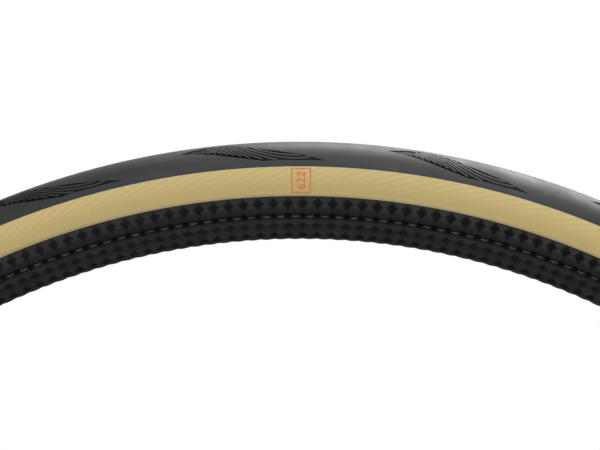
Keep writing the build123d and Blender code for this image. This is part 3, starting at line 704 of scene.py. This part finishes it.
def fabricMaterial(name, tone, dark, rough, scale):
    # crossed cords, read from object coordinates as turn and side distance of the ring
    material, tree, shader = startMaterial(name, Roughness=rough)
    place = addNode(tree, "ShaderNodeTexCoord").outputs["Object"]
    spot = addNode(tree, "ShaderNodeSeparateXYZ", {0: place}).outputs
    turn = calc(tree, "MULTIPLY", calc(tree, "ARCTAN2", spot[0], spot[2]), 320.0)
    half = calc(tree, "MULTIPLY", spot[1], 1000.0)
    first = useGroup(tree, cordGroup, around=turn, along=half, count=scale, slant=1.0, unevenness=0.2)
    second = useGroup(tree, cordGroup, around=turn, along=half, count=scale, slant=-1.0, unevenness=0.2)
    gap = calc(tree, "MAXIMUM", first["Gap"], second["Gap"])
    tree.links.new(mixColour(tree, calc(tree, "MULTIPLY", gap, 0.8), tone, dark), shader.inputs["Base Color"])
    bumpInto(tree, shader, calc(tree, "MINIMUM", first["Ridge"], second["Ridge"]), 0.0001, 0.6)
    return material


def grainMaterial(name, tone, other, rough, metallic=0.0, scale=1200.0, bump=0.00005):
    material, tree, shader = startMaterial(name, Metallic=metallic, Roughness=rough)
    place = addNode(tree, "ShaderNodeTexCoord").outputs["Object"]
    grain = useGroup(tree, grainGroup, vector=place, scale=scale, pits=0.3)
    blended = mixColour(tree, ramp(tree, grain["Cloud"], 0.35, 0.7), tone, other)
    tree.links.new(blended, shader.inputs["Base Color"])
    tree.links.new(ramp(tree, grain["Cloud"], 0.3, 0.7, rough - 0.06, rough + 0.08), shader.inputs["Roughness"])
    bumpInto(tree, shader, grain["Height"], bump, 0.5)
    return material


def threadMaterial(name, tone, rough, pitch, lowest, highest):
    # turned metal with screw-thread rings between two heights
    material, tree, shader = startMaterial(name, Metallic=1.0, Roughness=rough)
    place = addNode(tree, "ShaderNodeTexCoord").outputs["Object"]
    spot = addNode(tree, "ShaderNodeSeparateXYZ", {0: place}).outputs
    turn = calc(tree, "DIVIDE", calc(tree, "ARCTAN2", spot[1], spot[0]), 2 * math.pi)
    wave = calc(tree, "FRACT", calc(tree, "ADD", calc(tree, "DIVIDE", spot[2], pitch), turn))
    tooth = awayFrom(tree, wave, 0.5)
    below = ramp(tree, spot[2], lowest, lowest + pitch)
    above = ramp(tree, spot[2], highest - pitch, highest, 1.0, 0.0)
    onThread = calc(tree, "MULTIPLY", below, above)
    groove = calc(tree, "MULTIPLY", ramp(tree, tooth, 0.1, 0.45), onThread)
    # painted shade: the metal tone darkens in the thread grooves
    grooveShade = tuple(c * 0.45 for c in tone[:3]) + (1,)
    tree.links.new(mixColour(tree, groove, tone, grooveShade), shader.inputs["Base Color"])
    grain = useGroup(tree, grainGroup, vector=place, scale=2500.0, pits=0.1)
    cut = calc(tree, "MULTIPLY", tooth, onThread)
    height = calc(tree, "MULTIPLY_ADD", cut, -8.0, calc(tree, "MULTIPLY", grain["Height"], 0.15))
    bumpInto(tree, shader, height, 0.00006, 0.9)
    return material


finishes = {
    "casing_outer_ply": fabricMaterial("casingCloth", (0.30, 0.25, 0.17, 1), (0.12, 0.09, 0.06, 1), 0.8, 1.4),
    "chafer_left": fabricMaterial("chaferCloth", (0.02, 0.02, 0.02, 1), (0.006, 0.006, 0.006, 1), 0.85, 1.1),
    "puncture_belt": fabricMaterial("beltCloth", (0.62, 0.55, 0.34, 1), (0.3, 0.24, 0.12, 1), 0.8, 1.0),
    "bead_core_left": fabricMaterial("beadCord", (0.6, 0.48, 0.16, 1), (0.3, 0.22, 0.06, 1), 0.6, 2.0),
    "inner_liner": grainMaterial("linerRubber", (0.02, 0.02, 0.02, 1), (0.035, 0.035, 0.033, 1), 0.6),
    "rim_hoop": grainMaterial("plainCarbon", (0.012, 0.012, 0.013, 1), (0.022, 0.022, 0.023, 1), 0.4),
    "rim_tape": grainMaterial("sealTape", (0.55, 0.42, 0.05, 1), (0.45, 0.33, 0.04, 1), 0.35),
    "valve_base_seal": grainMaterial("sealRubber", (0.012, 0.012, 0.012, 1), (0.02, 0.02, 0.02, 1), 0.6),
    "valve_stem": threadMaterial("stemMetal", (0.72, 0.72, 0.74, 1), 0.28, 0.0008, -0.297, -0.2625),
    "valve_lock_nut": grainMaterial("nutMetal", (0.03, 0.03, 0.033, 1), (0.05, 0.05, 0.055, 1),
                                    0.32, 1.0, 2200.0, 0.00003),
    "valve_core_body": grainMaterial("coreBrass", (0.66, 0.50, 0.22, 1), (0.55, 0.40, 0.17, 1),
                                     0.3, 1.0, 2600.0, 0.00002),
    "valve_cap": grainMaterial("capPlastic", (0.012, 0.012, 0.013, 1), (0.018, 0.018, 0.02, 1),
                               0.42, 0.0, 2600.0, 0.00003),
}
sameFinish = {"casing_inner_ply": "casing_outer_ply", "chafer_right": "chafer_left",
              "bead_core_right": "bead_core_left", "valve_o_ring": "valve_base_seal",
              "valve_core_pin": "valve_core_body", "valve_core_nut": "valve_core_body"}
for node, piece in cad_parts.items():
    material = finishes.get(sameFinish.get(node, node))
    if material:
        wear(piece, material)
print("CAD finishes set")


# ---- studio ----

studio = {"sky": 1.0, "fill": 0.30, "floorTone": (0.86, 0.86, 0.85, 1), "floorOther": (0.82, 0.82, 0.81, 1),
          "lens": 137.76, "cameraAt": (0.00028, -0.975, 0.3036)}
floorPoints = np.array([[-4, -4, 0], [4, -4, 0], [4, 4, 0], [-4, 4, 0]]) + [0, 0, cadBox[0].z - 0.0005]
floorMesh = makeMesh("studioFloor", floorPoints, np.array([[0, 1, 2, 3]]), sharp=0)
floorPaint, tree, shader = startMaterial("floorPaint", Roughness=0.7)
place = addNode(tree, "ShaderNodeTexCoord").outputs["Object"]
grain = useGroup(tree, grainGroup, vector=place, scale=60.0, pits=0.2)
cloudShare = ramp(tree, grain["Cloud"], 0.3, 0.7, 0.0, 0.4)
tone = mixColour(tree, cloudShare, studio["floorTone"], studio["floorOther"])
tree.links.new(tone, shader.inputs["Base Color"])
wear(floorMesh, floorPaint)

scene = bpy.context.scene
scene.view_settings.view_transform = "Standard"
scene.view_settings.look = "None"
world = bpy.data.worlds.new("studioSky")
scene.world = world
world.use_nodes = True
tree = world.node_tree
tree.nodes.clear()
shown = addNode(tree, "ShaderNodeBackground", {"Color": (1, 1, 1, 1), "Strength": studio["sky"]})
lit = addNode(tree, "ShaderNodeBackground", {"Color": (1, 1, 1, 1), "Strength": studio["fill"]})
seen = addNode(tree, "ShaderNodeLightPath").outputs["Is Camera Ray"]
mixed = addNode(tree, "ShaderNodeMixShader", {0: seen, 1: lit.outputs[0], 2: shown.outputs[0]})
addNode(tree, "ShaderNodeOutputWorld", {"Surface": mixed.outputs[0]})

lamps = {
    "overhead": {"at": (0.40, 0.42, 1.15), "aim": (0.0, 0.0, 0.33), "size": (1.0, 0.9), "watts": 24.0},
    "frontFill": {"at": (0.30, -1.90, 2.00), "aim": (0.0, 0.0, 0.3), "size": (1.8, 1.2), "watts": 42.0},
    "backFill": {"at": (-0.8, 2.4, 1.2), "aim": (0.0, 0.0, 0.2), "size": (1.6, 1.2), "watts": 8.0},
}
for name, lamp in lamps.items():
    data = bpy.data.lights.new(name, "AREA")
    data.shape = "RECTANGLE"
    data.size, data.size_y = lamp["size"]
    data.energy = lamp["watts"]
    holder = bpy.data.objects.new(name, data)
    scene.collection.objects.link(holder)
    holder.location = lamp["at"]
    direction = np.array(lamp["aim"]) - np.array(lamp["at"])
    holder.rotation_euler = mathutils.Vector(direction).to_track_quat("-Z", "Y").to_euler()

cameraData = bpy.data.cameras.new("studioCamera")
cameraData.lens = studio["lens"]
cameraData.sensor_width = 36.0
camera = bpy.data.objects.new("studioCamera", cameraData)
scene.collection.objects.link(camera)
camera.location = studio["cameraAt"]
camera.rotation_euler = (math.radians(90.0), 0.0, 0.0)
scene.camera = camera
print("studio set")
